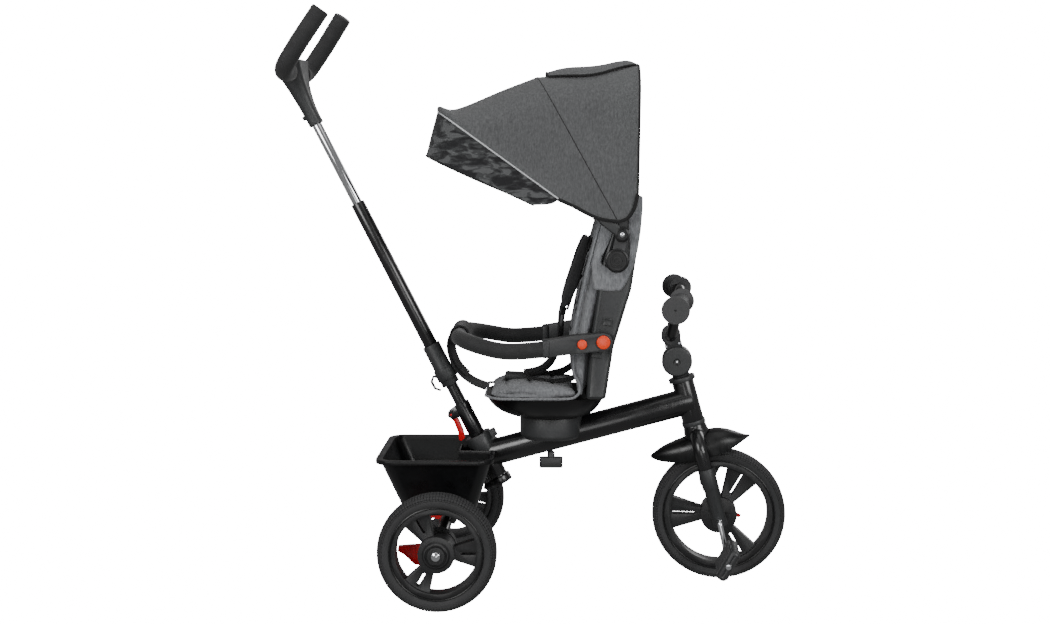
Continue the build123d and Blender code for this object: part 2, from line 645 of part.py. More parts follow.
def bow(angle, reach, half, eye):
    """A bow of round rod, from one eye on the fold pivot over to the other."""
    frame = ray(angle)
    middle = (eye[0] + eye[1]) / 2
    bent_bar([at(frame, 12, -middle, 0), at(frame, 44, -half, 0), at(frame, reach, -half, 0),
              at(frame, reach, half, 0), at(frame, 44, half, 0), at(frame, 12, middle, 0)],
             (20, 52, 52, 20), bow_r)
    for hand in (-1, 1):
        disc(fold, hand * eye[0], hand * eye[1], fold_eye)
        disc(fold, hand * eye[0], hand * eye[1], 4 + run, Mode.SUBTRACT)


with BuildPart() as mid_bow_rod:
    bow(mid_bow[0], mid_bow[2] - 10, 129, mid_eye)
save(mid_bow_rod, "mid_bow_rod")

with BuildPart() as front_bow_rod:
    bow(front_bow[0], front_bow[2] - 14, 132, front_eye)
save(front_bow_rod, "front_bow_rod")
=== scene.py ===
"""The looks of a child's tricycle with a swivel seat, a folding canopy and a push bar, round its CAD frame.

Shapes are drawn in millimetres in a local frame (x ahead, y left, z up its axis) and placed in metres.
"""
import json
from math import atan2, cos, hypot, pi, radians, sin

import bpy
from mathutils import Matrix, Vector


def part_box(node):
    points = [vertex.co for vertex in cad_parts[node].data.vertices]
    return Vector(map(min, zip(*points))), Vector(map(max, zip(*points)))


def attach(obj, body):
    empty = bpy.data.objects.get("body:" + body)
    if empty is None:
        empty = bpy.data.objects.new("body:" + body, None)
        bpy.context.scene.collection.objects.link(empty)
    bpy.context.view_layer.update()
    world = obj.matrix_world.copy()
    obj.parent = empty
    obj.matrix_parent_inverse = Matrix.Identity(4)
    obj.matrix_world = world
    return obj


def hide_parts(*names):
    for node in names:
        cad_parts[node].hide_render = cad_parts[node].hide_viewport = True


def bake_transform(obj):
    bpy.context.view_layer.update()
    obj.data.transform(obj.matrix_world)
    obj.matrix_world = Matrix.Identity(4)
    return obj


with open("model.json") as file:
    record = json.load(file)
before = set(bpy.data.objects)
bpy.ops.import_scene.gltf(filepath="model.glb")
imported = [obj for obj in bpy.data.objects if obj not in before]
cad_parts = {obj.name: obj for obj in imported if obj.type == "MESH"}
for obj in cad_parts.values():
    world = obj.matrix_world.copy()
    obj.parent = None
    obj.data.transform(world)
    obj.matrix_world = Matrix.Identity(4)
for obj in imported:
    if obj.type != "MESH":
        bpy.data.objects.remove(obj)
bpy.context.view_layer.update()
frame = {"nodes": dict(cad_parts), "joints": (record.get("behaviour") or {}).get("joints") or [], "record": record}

MM = 0.001
cad = frame["nodes"]
record = frame["record"]
joints = {joint["name"]: joint for joint in frame["joints"]}
body_of = {node: body for body, held in record["behaviour"]["bodies"].items() for node in held}
slot_of = {part["node"]: part["material_slot"] for part in record["subparts"]}


# ---- Frames ----
def frame_at(origin, up, left):
    """A local frame in millimetres from its origin, the way up its axis and the way to its left."""
    up, left = Vector(up).normalized(), Vector(left).normalized()
    turn = Matrix((left.cross(up), left, up)).transposed().to_4x4()
    return Matrix.Translation(origin) @ turn @ Matrix.Scale(MM, 4)


def joint_at(name, up, left):
    """A frame at a joint, its up and left each an axis of a named joint or a vector."""
    up, left = (joints[way]["axis"] if isinstance(way, str) else way for way in (up, left))
    return frame_at(joints[name]["pos_m"], up, left)


UP, LEFT = (0, 0, 1), (0, 1, 0)
axle = joint_at("rear_wheel_right_spin", UP, LEFT).translation
trike = frame_at((axle.x, 0, 0), UP, LEFT)
trike_hub = frame_at((axle.x, 0, axle.z), UP, LEFT)
steer = joint_at("front_wheel_spin", "steering_turn", "front_wheel_spin")
ON_LEFT = Matrix.Rotation(-pi / 2, 4, "X")      # turns a shape's upward axis to the left
OUTWARD = {1: ON_LEFT, -1: Matrix.Rotation(pi / 2, 4, "X")}
SIDES = (("right", -1), ("left", 1))             # each side's name, and its sign along the left axis


def moved(base, x=0.0, y=0.0, z=0.0, spin=0.0):
    """A frame moved in its own directions, in millimetres, and turned about its left axis, in degrees."""
    return base @ Matrix.Translation((x, y, z)) @ Matrix.Rotation(radians(spin), 4, "Y")


# ---- Sizes in millimetres that several pieces share ----
REAR_TYRE, FRONT_TYRE = (105, 81), (125, 103)    # outer radius, and the radius of its seat on the rim
BACK_HALF, SLEEVE_HALF, PAD_HALF = 116.4, 118.5, 108
CLOTH_THICK = 1.3
SEAM_REACH = 6                                   # how far a sewn channel draws a pad in
CLOTH_FRAMES = 20                                # steps of each cloth simulation
STUDIO_GLOW = 18.0                               # emission of the floor and the backdrop

# ---- Materials ----
def rgb(code):
    """A linear colour from an sRGB hex code."""
    parts = [int(code[i:i + 2], 16) / 255 for i in (1, 3, 5)]
    return [c / 12.92 if c <= 0.04045 else ((c + 0.055) / 1.055) ** 2.4 for c in parts] + [1.0]


def add(tree, kind, sockets=None, **settings):
    """Add a node with its settings, and its sockets' values or the outputs that they are linked to."""
    made = tree.nodes.new("ShaderNode" + kind)
    for name, value in settings.items():
        setattr(made, name, value)
    for name, value in (sockets or {}).items():
        if isinstance(value, bpy.types.NodeSocket):
            tree.links.new(value, made.inputs[name])
        else:
            made.inputs[name].default_value = value
    return made


MIX_A, MIX_B, MIX_OUT = 6, 7, 2                  # a colour Mix node's sockets


def begin(name, roughness, **shader_sockets):
    """A new material with a shader, and its tree, shader and Object coordinates."""
    made = bpy.data.materials.new(name)
    made.use_nodes = True
    tree = made.node_tree
    tree.nodes.clear()
    named = {key.replace("_", " "): value for key, value in shader_sockets.items()}
    shader = add(tree, "BsdfPrincipled", {"Roughness": roughness, **named})
    add(tree, "OutputMaterial", {"Surface": shader.outputs["BSDF"]})
    place = add(tree, "TexCoord").outputs["Object"]
    return made, tree, shader, place


def hard(name, low, high, roughness, grain, depth, worn=0.08, **shader_sockets):
    """A hard skin: tone drifts from low to high, roughness by worn, and a grain in mm dents it by depth."""
    made, tree, shader, place = begin(name, roughness, **shader_sockets)
    drift = add(tree, "TexNoise", {"Vector": place, "Scale": 14.0, "Detail": 3.0})
    tone = add(tree, "Mix", {0: drift.outputs[0], MIX_A: rgb(low), MIX_B: rgb(high)}, data_type="RGBA")
    patches = add(tree, "TexNoise", {"Vector": place, "Scale": 55.0, "Detail": 4.0, "Roughness": 0.6})
    rough = add(tree, "MapRange", {"Value": patches.outputs[0], "From Min": 0.3, "From Max": 0.7,
                                   "To Min": max(0.02, roughness - worn), "To Max": roughness + worn})
    dents = add(tree, "TexNoise", {"Vector": place, "Scale": 1 / (grain * MM), "Detail": 2.0})
    bump = add(tree, "Bump", {"Height": dents.outputs[0], "Strength": 0.6, "Distance": depth * MM})
    tree.links.new(tone.outputs[MIX_OUT], shader.inputs["Base Color"])
    tree.links.new(rough.outputs[0], shader.inputs["Roughness"])
    tree.links.new(bump.outputs[0], shader.inputs["Normal"])
    return made


def woven(name, low, high, thread, depth, fleck=0.6, print_tones=None, **shader_sockets):
    """A cloth of crossed threads a number of mm apart, flecked from low to high as mixed yarn is."""
    made, tree, shader, place = begin(name, 0.92, Specular_IOR_Level=0.25, Sheen_Weight=0.12,
                                      Sheen_Roughness=0.5, **shader_sockets)
    scale = 2 * pi / (20 * thread * MM)
    ways = [add(tree, "TexWave", {"Vector": place, "Scale": scale, "Distortion": 1.5, "Detail": 1.0,
                                  "Detail Scale": 0.4}, bands_direction=way).outputs["Fac"] for way in "XYZ"]
    threads = ways[0]
    for way in ways[1:]:
        threads = add(tree, "Math", {0: threads, 1: way}, operation="ADD").outputs[0]
    long_flecks = add(tree, "Mapping", {"Vector": place, "Scale": (1.0, 1.0, 0.3)})
    flecks = add(tree, "TexNoise", {"Vector": long_flecks.outputs[0], "Scale": 1 / (2.2 * thread * MM),
                                    "Detail": 3.0, "Roughness": 0.7})
    spread = add(tree, "MapRange", {"Value": flecks.outputs[0], "From Min": 0.5 - 0.25 * fleck,
                                    "From Max": 0.5 + 0.25 * fleck})
    drift = add(tree, "TexNoise", {"Vector": place, "Scale": 9.0, "Detail": 3.0})
    weight = add(tree, "Mix", {0: 0.3, 2: spread.outputs[0], 3: drift.outputs[0]}, data_type="FLOAT")
    colour = add(tree, "Mix", {0: weight.outputs[0], MIX_A: rgb(low), MIX_B: rgb(high)},
                 data_type="RGBA").outputs[MIX_OUT]
    if print_tones:
        lie = add(tree, "Mapping", {"Vector": place, "Rotation": (0, radians(24), 0),
                                    "Scale": (1.0, 1.0, 2.9)})
        blots = add(tree, "TexNoise", {"Vector": lie.outputs[0], "Scale": 34.0, "Detail": 2.0,
                                       "Roughness": 0.55, "Distortion": 0.5})
        ramp = add(tree, "ValToRGB", {"Fac": blots.outputs[0]})
        stops = ramp.color_ramp.elements
        edges = (0.0, 0.42, 0.43, 0.49, 0.50, 0.56, 0.57)
        tones = (0, 0, 1, 1, 2, 2, 3)
        for spot in edges[2:]:
            stops.new(spot)
        for stop, spot, tone in zip(stops, edges, tones):
            stop.position, stop.color = spot, rgb(print_tones[tone])
        colour = add(tree, "Mix", {0: 0.9, MIX_A: colour, MIX_B: ramp.outputs["Color"]},
                     data_type="RGBA").outputs[MIX_OUT]
    tree.links.new(colour, shader.inputs["Base Color"])
    height = add(tree, "Math", {0: threads, 1: flecks.outputs[0]}, operation="ADD")
    bump = add(tree, "Bump", {"Height": height.outputs[0], "Strength": 0.5, "Distance": depth * MM})
    tree.links.new(bump.outputs[0], shader.inputs["Normal"])
    return made


# Powder-coated steel: a satin black skin with the faint orange peel that a melted powder leaves
coated_steel = hard("powder_coated_steel", "#0F0F10", "#171718", 0.27, 1.6, 0.006, Coat_Weight=0.25,
                    Coat_Roughness=0.12)
# Nylon, glass filled and moulded against an etched tool: charcoal, with a fine sandy texture
moulded_nylon = hard("moulded_black_nylon", "#252627", "#2F3031", 0.46, 0.9, 0.03)
# ABS moulded against a polished tool: near black and glossy, with slow ripples
polished_abs = hard("polished_black_abs", "#08080A", "#0D0D0E", 0.34, 9.0, 0.02, Specular_IOR_Level=0.35)
# Polypropylene wheel moulding: charcoal with a soft waxy sheen
wheel_plastic = hard("moulded_polypropylene", "#1A1A1B", "#232324", 0.4, 1.2, 0.02)
# Foamed EVA: dull dark grey and full of small pores
eva_foam = hard("foamed_eva_rubber", "#262627", "#323233", 0.82, 1.4, 0.06)
# Closed-cell grip foam: nearly black, with a soft nap and small open cells
grip_foam = hard("closed_cell_grip_foam", "#171718", "#212122", 0.8, 1.1, 0.1, Sheen_Weight=0.15)
# Rubber grip: a little lighter than the foam, and smoother
grip_rubber = hard("moulded_grip_rubber", "#333334", "#3C3C3D", 0.62, 0.9, 0.03)
# Chrome plate on drawn tube: a mirror with long faint draw lines
chrome = hard("chrome_plate", "#C9CBCE", "#E3E4E6", 0.1, 3.0, 0.004, worn=0.04, Metallic=1.0)
# Zinc plate: bright, bluish and less sharp than chrome
zinc = hard("zinc_plated_steel", "#9EA1A6", "#B9BBBF", 0.3, 1.2, 0.006, Metallic=1.0)
# Acetal coloured in the mass: glossy red levers and orange-red buttons
red_acetal = hard("red_acetal", "#B90E16", "#CF1720", 0.24, 2.0, 0.008)
orange_acetal = hard("orange_acetal", "#DE3606", "#EA400C", 0.26, 2.0, 0.008)
# Polyester canopy cloth: charcoal and off-black yarns woven together, 0.4 mm apart and drawn at 1.1 mm
canopy_cloth = woven("heather_polyester_canopy", "#444546", "#5C5D5E", 1.1, 0.18)
# The same cloth with a printed blotch pattern in four greys
printed_cloth = woven("printed_polyester", "#2E2E2F", "#3E3F40", 1.1, 0.15,
                      print_tones=("#1B1B1D", "#262628", "#3A3B3C", "#525354"))
# Melange seat cloth: grey and black yarns, 0.5 mm apart and drawn at 1.3 mm
seat_cloth = woven("melange_seat_cloth", "#505153", "#8D8F92", 1.3, 0.25, fleck=0.9)
# Dark padding cloth: the mesh lining of the pads and the loops
dark_cloth = woven("black_padding_cloth", "#1C1C1D", "#2B2B2C", 1.3, 0.25)
# Polypropylene webbing: black ribs across the tape, 1.2 mm apart
webbing = woven("polypropylene_webbing", "#121213", "#1D1D1E", 1.5, 0.3)
# Reflective piping: glass beads in a pale grey film
piping_grey = hard("reflective_piping", "#A9ABAD", "#BFC1C3", 0.45, 0.8, 0.03)
# Binding tape: folded black tape with a low sheen
binding = woven("black_binding_tape", "#151516", "#212122", 1.1, 0.15)
# Studio floor: plain white, lit to the same even white as the backdrop
studio_floor = hard("white_studio_floor", "#F4F4F4", "#F7F7F7", 0.3, 40.0, 0.01, worn=0.02,
                    Emission_Color=(1, 1, 1, 1), Emission_Strength=STUDIO_GLOW)
# Backdrop paper, lit from behind to an even white
studio_white = hard("backlit_backdrop_paper", "#FAFAFA", "#FAFAFA", 0.9, 40.0, 0.01, worn=0.02,
                    Emission_Color=(1, 1, 1, 1), Emission_Strength=STUDIO_GLOW)


# ---- Modelling ----
def only(piece):
    """Select one piece and nothing else."""
    bpy.ops.object.select_all(action="DESELECT")
    piece.select_set(True)
    bpy.context.view_layer.objects.active = piece


def editing(select="SELECT"):
    """Open the active piece for editing, with all or nothing of it selected."""
    bpy.ops.object.mode_set(mode="EDIT")
    bpy.ops.mesh.select_all(action=select)


def done():
    """Leave editing."""
    bpy.ops.object.mode_set(mode="OBJECT")


def clear_picks(piece):
    """Leave nothing of a piece selected, so that its faces can be picked one by one."""
    only(piece)
    editing("DESELECT")
    done()


def inset_where(piece, wanted, thickness, depth):
    """Inset the faces that wanted(face) picks by a thickness, and push them out by a depth."""
    clear_picks(piece)
    for face in piece.data.polygons:
        face.select = wanted(face)
    bpy.ops.object.mode_set(mode="EDIT")
    bpy.ops.mesh.inset(thickness=thickness, depth=depth)
    done()
    return piece


def start(name, kind, **size):
    """Add a primitive on its own and name it."""
    bpy.ops.object.select_all(action="DESELECT")
    getattr(bpy.ops.mesh, f"primitive_{kind}_add")(**size)
    piece = bpy.context.object
    piece.name = name
    bpy.ops.object.transform_apply()
    return piece


def applied(piece, kind, **settings):
    """Give a piece a modifier with its settings, and apply it."""
    only(piece)
    made = piece.modifiers.new(kind.lower(), kind)
    for name, value in settings.items():
        setattr(made, name, value)
    bpy.ops.object.modifier_apply(modifier=made.name)
    return piece


def bevelled(piece, width, segments=2, angle=35):
    """Round the edges of a piece that are sharper than an angle."""
    return applied(piece, "BEVEL", width=width, segments=segments, limit_method="ANGLE",
                   angle_limit=radians(angle), use_clamp_overlap=True)


def finished(piece, finish, body, where=None, stands_for=(), slot=None, smooth=38):
    """Put a piece in its place with its finish and its body, and hide the CAD nodes it stands for; a piece given a
    crease is only fixed in place.
    """
    if where is not None:
        piece.data.transform(where)
    piece.data.materials.clear()
    piece.data.materials.append(finish)
    only(piece)
    bpy.ops.object.shade_smooth_by_angle(angle=radians(smooth))
    if isinstance(body, tuple):
        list(body)
        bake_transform(piece)
    else:
        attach(piece, body)
    if stands_for:
        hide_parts(*stands_for)
    slot or slot_of[stands_for[0]]
    return piece


def turned(name, profile, steps=64):
    """A shape turned about its own upward axis: profile points are (radius, height)."""
    piece = start(name, "plane", size=1)
    editing()
    bpy.ops.mesh.merge(type="CENTER")
    bpy.ops.transform.translate(value=(profile[0][0], 0, profile[0][1]))
    for (r0, z0), (r1, z1) in zip(profile, profile[1:]):
        bpy.ops.mesh.extrude_region_move(TRANSFORM_OT_translate={"value": (r1 - r0, 0, z1 - z0)})
    bpy.ops.mesh.select_all(action="SELECT")
    bpy.ops.mesh.spin(steps=steps, angle=2 * pi, center=(0, 0, 0), axis=(0, 0, 1))
    bpy.ops.mesh.select_all(action="SELECT")
    bpy.ops.mesh.remove_doubles(threshold=0.002)
    bpy.ops.mesh.normals_make_consistent(inside=False)
    done()
    return piece


def plate(name, outline, y_from, y_to):
    """A side outline of (ahead, up) points as a face, extruded from one distance left to another."""
    piece = start(name, "circle", vertices=len(outline), radius=1, fill_type="NGON")
    for vertex, (x, z) in zip(piece.data.vertices, outline):
        vertex.co = (x, y_from, z)
    editing()
    bpy.ops.mesh.extrude_region_move(TRANSFORM_OT_translate={"value": (0, y_to - y_from, 0)})
    bpy.ops.mesh.select_all(action="SELECT")
    bpy.ops.mesh.normals_make_consistent(inside=False)
    done()
    return piece


def smooth(points, t):
    """The point at t, from 0 to 1, of a smooth line through points."""
    span = t * (len(points) - 1)
    index = min(int(span), len(points) - 2)
    t = span - index
    a, b, c, d = (Vector(points[min(max(index + i, 0), len(points) - 1)]) for i in (-1, 0, 1, 2))
    return 0.5 * (2 * b + (c - a) * t + (2 * a - 5 * b + 4 * c - d) * t ** 2
                  + (3 * b - a - 3 * c + d) * t ** 3)


def laid_out(name, across, along, point):
    """A grid whose vertices go where point(u, v) says, with u and v from 0 to 1."""
    piece = start(name, "grid", x_subdivisions=across, y_subdivisions=along, size=1, location=(0.5, 0.5, 0))
    for vertex in piece.data.vertices:
        vertex.co = point(min(max(vertex.co.x, 0), 1), min(max(vertex.co.y, 0), 1))
    editing()
    bpy.ops.mesh.normals_make_consistent(inside=False)
    done()
    return piece


def ribbon(name, points, middle, width, thick, along=40, lean=0.0):
    """A flat strap through (ahead, up) points, centred a distance to the left and leaning over by degrees."""
    def point(u, v):
        spot, ahead = smooth(points, v), smooth(points, min(v + 0.02, 1)) - smooth(points, max(v - 0.02, 0))
        out = (u - 0.5) * width * sin(radians(lean)) / ahead.length
        return (spot.x + ahead.y * out, middle(v) + (u - 0.5) * width * cos(radians(lean)),
                spot.y - ahead.x * out)
    piece = laid_out(name, 4, along, point)
    applied(piece, "SOLIDIFY", thickness=thick, offset=0)
    return bevelled(piece, thick * 0.3, 1)


def cable(name, points, radius, steps=4):
    """A round length of piping, binding or foam through points, held down all along."""
    line = bpy.data.curves.new(name, "CURVE")
    line.dimensions = "3D"
    spline = line.splines.new("POLY")
    spline.points.add(len(points) - 1)
    for spot, point in zip(spline.points, points):
        spot.co = (*point, 1)
    line.bevel_depth, line.bevel_resolution, line.use_fill_caps = radius, steps, True
    piece = bpy.data.objects.new(name, line)
    bpy.context.collection.objects.link(piece)
    only(piece)
    bpy.ops.object.convert(target="MESH")
    return bpy.context.object


def plumped(piece, voxel, cap, pressure=4.0, shrink=0.0):
    """Blow a closed pad up as cloth, with no point moving further than cap, all in metres."""
    applied(piece, "REMESH", mode="VOXEL", voxel_size=voxel)
    before = [vertex.co.copy() for vertex in piece.data.vertices]
    only(piece)
    cloth = piece.modifiers.new("cloth", "CLOTH")
    cloth.settings.use_pressure = True
    cloth.settings.uniform_pressure_force = pressure
    cloth.settings.shrink_min = shrink
    cloth.settings.effector_weights.gravity = 0.0
    cloth.collision_settings.use_collision = False
    scene = bpy.context.scene
    for number in range(1, CLOTH_FRAMES + 1):
        scene.frame_set(number)
    bpy.ops.object.modifier_apply(modifier=cloth.name)
    scene.frame_set(1)
    for vertex, old in zip(piece.data.vertices, before):
        shift = vertex.co - old
        if shift.length > cap:
            vertex.co = old + shift * (cap / shift.length)
    applied(piece, "SUBSURF", levels=1, render_levels=1)
    return piece


def refined(node, finish, edge=0.5, segments=2):
    """A smooth copy of a CAD node, its edges rounded by a number of mm, that stands for it."""
    piece = cad[node].copy()
    piece.data = cad[node].data.copy()
    piece.name = node + "_finished"
    bpy.context.collection.objects.link(piece)
    only(piece)
    editing()
    bpy.ops.mesh.remove_doubles(threshold=2e-6)
    bpy.ops.mesh.dissolve_limited(angle_limit=radians(0.3))
    done()
    if edge:
        bevelled(piece, edge * MM, segments)
    return finished(piece, finish, body_of[node], stands_for=[node])


# ---- Carried-over CAD shapes ----
for finish, edge, names in (
        (coated_steel, 0.6, "main_frame fork handlebar push_post push_tube handle_tube"),
        (moulded_nylon, 0.8, "brake_housings post_housing headset_cups seat_mount fork_sleeves stem_knuckle "
                             "bar_clamp tube_collar hook_lever height_button canopy_arms"),
        (moulded_nylon, 2.0, "handle_neck clamp_knob bumper_arms"),
        (polished_abs, 0.8, "basket front_fender seat_shell"),
        (wheel_plastic, 0.8, "rear_rim_left rear_rim_right front_rim"),
        (chrome, 0.4, "axle_nuts pedal_crank upper_tube"),
        (zinc, 0.3, "rear_axle mid_bow_rod front_bow_rod"),
        (red_acetal, 0.8, "brake_lever_left brake_lever_right release_lever clutch_lever"),
        (orange_acetal, 1.0, "lift_button_left lift_button_right split_button_left split_button_right"),
        (grip_foam, 3.0, "handle_foam")):
    for name in names.split():
        piece = refined(name, finish, edge)

# Black collars that the red brake levers come out of
for word in ("right", "left"):
    low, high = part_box(f"brake_lever_{word}")
    near, far = low[1] / MM - 0.3, high[1] / MM + 0.3
    band = [(13.5, near), (31.7, near), (31.7, far), (13.5, far), (13.5, near)]
    finished(turned(f"brake_collar_{word}", band), moulded_nylon, f"brake_{word}", trike_hub @ ON_LEFT,
             slot="black_plastic")

# ---- Tyres ----
def treaded(name, outer, seat, steps):
    """A foam tyre: a spun section with rows of small blocks raised round its crown and shoulders."""
    low = outer - 1.6
    section = [(seat, -16), (seat, 16), (seat + 5, 19.5), (seat + 11, 20.6), (low - 9, 20), (low - 6.5, 19.2),
               (low - 3, 16), (low - 0.8, 11), (low, 5), (low, -5), (low - 0.8, -11), (low - 3, -16),
               (low - 6.5, -19.2), (low - 9, -20), (seat + 11, -20.6), (seat + 5, -19.5), (seat, -16)]
    piece = turned(name, section, steps)
    clear_picks(piece)
    for face in piece.data.polygons:
        middle = face.center
        radius = hypot(middle.x, middle.y)
        turn = int((atan2(middle.y, middle.x) / (2 * pi) + 1) * steps + 0.01)
        row = int((middle.z + 30) / 6)
        face.select = radius > low - 8 and (turn + (row % 2)) % 2 == 0
    bpy.ops.object.mode_set(mode="EDIT")
    bpy.ops.mesh.inset(thickness=0.45, depth=1.5, use_individual=True)
    done()
    return piece


for word in ("right", "left"):
    wheel = joint_at(f"rear_wheel_{word}_spin", UP, LEFT)
    finished(treaded(f"rear_tyre_tread_{word}", *REAR_TYRE, 120), eva_foam, f"rear_wheel_{word}",
             wheel @ ON_LEFT, [f"rear_tyre_{word}"])
finished(treaded("front_tyre_tread", *FRONT_TYRE, 144), eva_foam, "front_wheel", steer @ ON_LEFT,
         ["front_tyre"])


def rim_lip(name, seat, body, where):
    """A round bead on each side of a wheel, where the rim's lip meets the tyre."""
    for side, flip in (("left", 1), ("right", -1)):
        bead = [(seat - 0.6, flip * 16.6), (seat - 0.8, flip * 18.4), (seat + 0.4, flip * 19.2),
                (seat + 1.6, flip * 18.6), (seat + 1.6, flip * 16.6), (seat - 0.6, flip * 16.6)]
        finished(turned(f"{name}_lip_{side}", bead, 96), polished_abs, body, where @ ON_LEFT,
                 slot="rim_plastic")


for word in ("right", "left"):
    rim_lip(f"rear_rim_{word}", REAR_TYRE[1], f"rear_wheel_{word}",
            joint_at(f"rear_wheel_{word}_spin", UP, LEFT))
rim_lip("front_rim", FRONT_TYRE[1], "front_wheel", steer)

# ---- Grips ----
for word, hand in SIDES:
    inner, outer = Vector((40, hand * 118, 421)), Vector((27, hand * 218, 418))
    length = (outer - inner).length
    section = [(9.5, 2), (21, 2), (22, 3), (22, 5.2), (20.8, 6), (16.5, 7), (14.3, 9)]
    for ring in range(9):
        z = 12 + ring * 8.6
        section += [(14.3, z), (15.1, z + 1.2), (15.1, z + 5.2), (14.3, z + 6.4)]
    section += [(14.3, length - 5), (16, length - 3), (23.2, length - 2), (24.5, length - 0.8),
                (24.5, length + 2.6), (23.4, length + 3.8), (9, length + 4), (2.2, length + 4),
                (2.2, length + 2), (0, length + 2)]
    lie = Matrix.Translation(inner) @ (outer - inner).to_track_quat("Z", "Y").to_matrix().to_4x4()
    finished(turned(f"grip_rubber_{word}", section, 48), grip_rubber, "steering", steer @ lie,
             [f"grip_{word}"])

# ---- Canopy ----
HALF, CORNER = 139.0, 66.0


def arch(foot, crown, half, v, dome=7.0):
    """A point of a bow's arch, from its right foot at v = 0 to its left: foot, crown are (ahead, up)."""
    rise = hypot(crown[0] - foot[0], crown[1] - foot[1])
    corner = min(CORNER, rise * 0.8)
    straight, bend = rise - corner, corner * pi / 2
    total = 2 * (straight + bend + half - corner)
    s = min(v, 1 - v) * total
    if s < straight:
        w, y = s, -half
    elif s < straight + bend:
        a = (s - straight) / corner
        w, y = straight + corner * sin(a), corner * (1 - cos(a)) - half
    else:
        w, y = rise, corner - half + s - straight - bend
    if s > straight + bend:
        w += dome * (1 - (y / half) ** 2) - dome * (1 - ((corner - half) / half) ** 2)
    t = w / rise
    y = y if v < 0.5 else -y
    return Vector((foot[0] + (crown[0] - foot[0]) * t, y, foot[1] + (crown[1] - foot[1]) * t))


def panel(name, feet, crowns, half, sag, along=26, across=72, belly=0.0):
    """A cloth panel between two bows, drawn in between them by sag."""
    def point(u, v):
        spot = arch(smooth(feet, u), smooth(crowns, u), half, v)
        inward = Vector((spot.x, 0, 690)) - spot
        ease = sin(pi * u) * min(1.0, 6 * min(v, 1 - v))
        ripple = 0.7 * sin(9 * pi * v + 3 * u) * sin(pi * u)
        spot += inward.normalized() * (sag * ease + ripple)
        spot.z -= belly * sin(pi * min(2 * min(v, 1 - v), 1.0)) * u
        return spot
    piece = laid_out(name, along, across, point)
    return applied(piece, "SOLIDIFY", thickness=CLOTH_THICK, offset=0)


rear_feet = [(350, 727), (344, 702), (332, 684), (316, 678)]
rear_crowns = [(353, 955), (294, 951), (234, 944), (173, 934)]
front_feet = [(316, 678), (278, 685), (240, 704), (211, 717)]
front_crowns = [(173, 934), (112, 914), (30, 883), (-2, 886), (-5, 872)]
brim_feet = [(211, 717), (198, 709), (168, 707)]
brim_crowns = [(-5, 872), (-16, 835), (-26, 797)]
rear_crease = ("canopy_base", "canopy_mid", trike @ Vector((351.5, 0, 841)), trike @ Vector((245, 0, 813)))
front_crease = ("canopy_mid", "canopy_front", trike @ Vector((244.5, 0, 806)), trike @ Vector((164, 0, 734)))
hood_rear = panel("hood_rear_cloth", rear_feet, rear_crowns, HALF, 5.0)
hood_front = panel("hood_front_cloth", front_feet, front_crowns, HALF + 0.6, 5.0, along=34)
visor = panel("visor_cloth", brim_feet, brim_crowns, HALF + 1.2, 1.5, along=14, belly=5.0)
finished(hood_rear, canopy_cloth, rear_crease, trike, ["hood_rear"])
finished(hood_front, canopy_cloth, front_crease, trike, ["hood_front"])
finished(visor, printed_cloth, "canopy_front", trike, ["visor"])


def seam(name, foot, crown, half, radius, finish, body, slot, v_from=0.0, v_to=1.0, steps=80):
    """A cord sewn along a bow's arch."""
    points = [arch(foot, crown, half, v_from + (v_to - v_from) * i / steps) for i in range(steps + 1)]
    return finished(cable(name, points, radius), finish, body, trike, slot=slot)


seam("rear_edge_binding", (350.5, 727), (353.5, 955), HALF + 0.6, 2.0, binding, "canopy_base", "webbing")
seam("middle_seam", (316, 678), (173, 934), HALF + 0.6, 0.9, binding, "canopy_mid", "webbing")
seam("front_piping", (211, 718), (-4.5, 873), HALF + 1.6, 1.5, piping_grey, "canopy_front", "zinc")
seam("brim_binding", (168, 706), (-26.5, 796), HALF + 1.4, 1.2, binding, "canopy_front", "webbing")

# The vent flap lies on the rear panel, lifted in a roll at each end and bound all round
flap_lift = [(2, 0), (9.5, 0), (8.5, 0), (5, 0), (4, 0), (5, 0), (7, 0), (7.5, 0), (5, 0)]


def flap_point(u, v):
    """A point on the vent flap: u from its rear edge ahead of the crown to its free edge, v across it."""
    along = 0.01 + 0.87 * u
    spot = arch(smooth(rear_feet, along), smooth(rear_crowns, along), HALF,
                0.5 + (v - 0.5) * (0.256 + 0.06 * sin(pi * u)))
    spot.z += 1.2 + smooth(flap_lift, u)[0] * (1 - 0.8 * abs(2 * v - 1) ** 5)
    return spot


flap = laid_out("vent_flap", 30, 36, flap_point)
applied(flap, "SOLIDIFY", thickness=CLOTH_THICK, offset=0)
finished(flap, canopy_cloth, rear_crease, trike, slot="canopy_fabric")
edge_walk = ([(i / 30, 0.0) for i in range(31)] + [(1.0, i / 30) for i in range(1, 31)]
             + [(1 - i / 30, 1.0) for i in range(1, 31)])
finished(cable("vent_flap_binding", [flap_point(u, v) for u, v in edge_walk], 1.9), binding,
         rear_crease, trike, slot="webbing")

# Black binding folded over the lower edges of the panels
for word, v in (("right", 0.0), ("left", 1.0)):
    for part, feet, crease in (("rear", rear_feet, rear_crease), ("front", front_feet, front_crease)):
        points = [arch(smooth(feet, i / 24), (260, 930), HALF + 1.2, v) for i in range(25)]
        tape = cable(f"{part}_hem_{word}", points, 3.4)
        finished(tape, binding, crease, trike, slot="webbing")

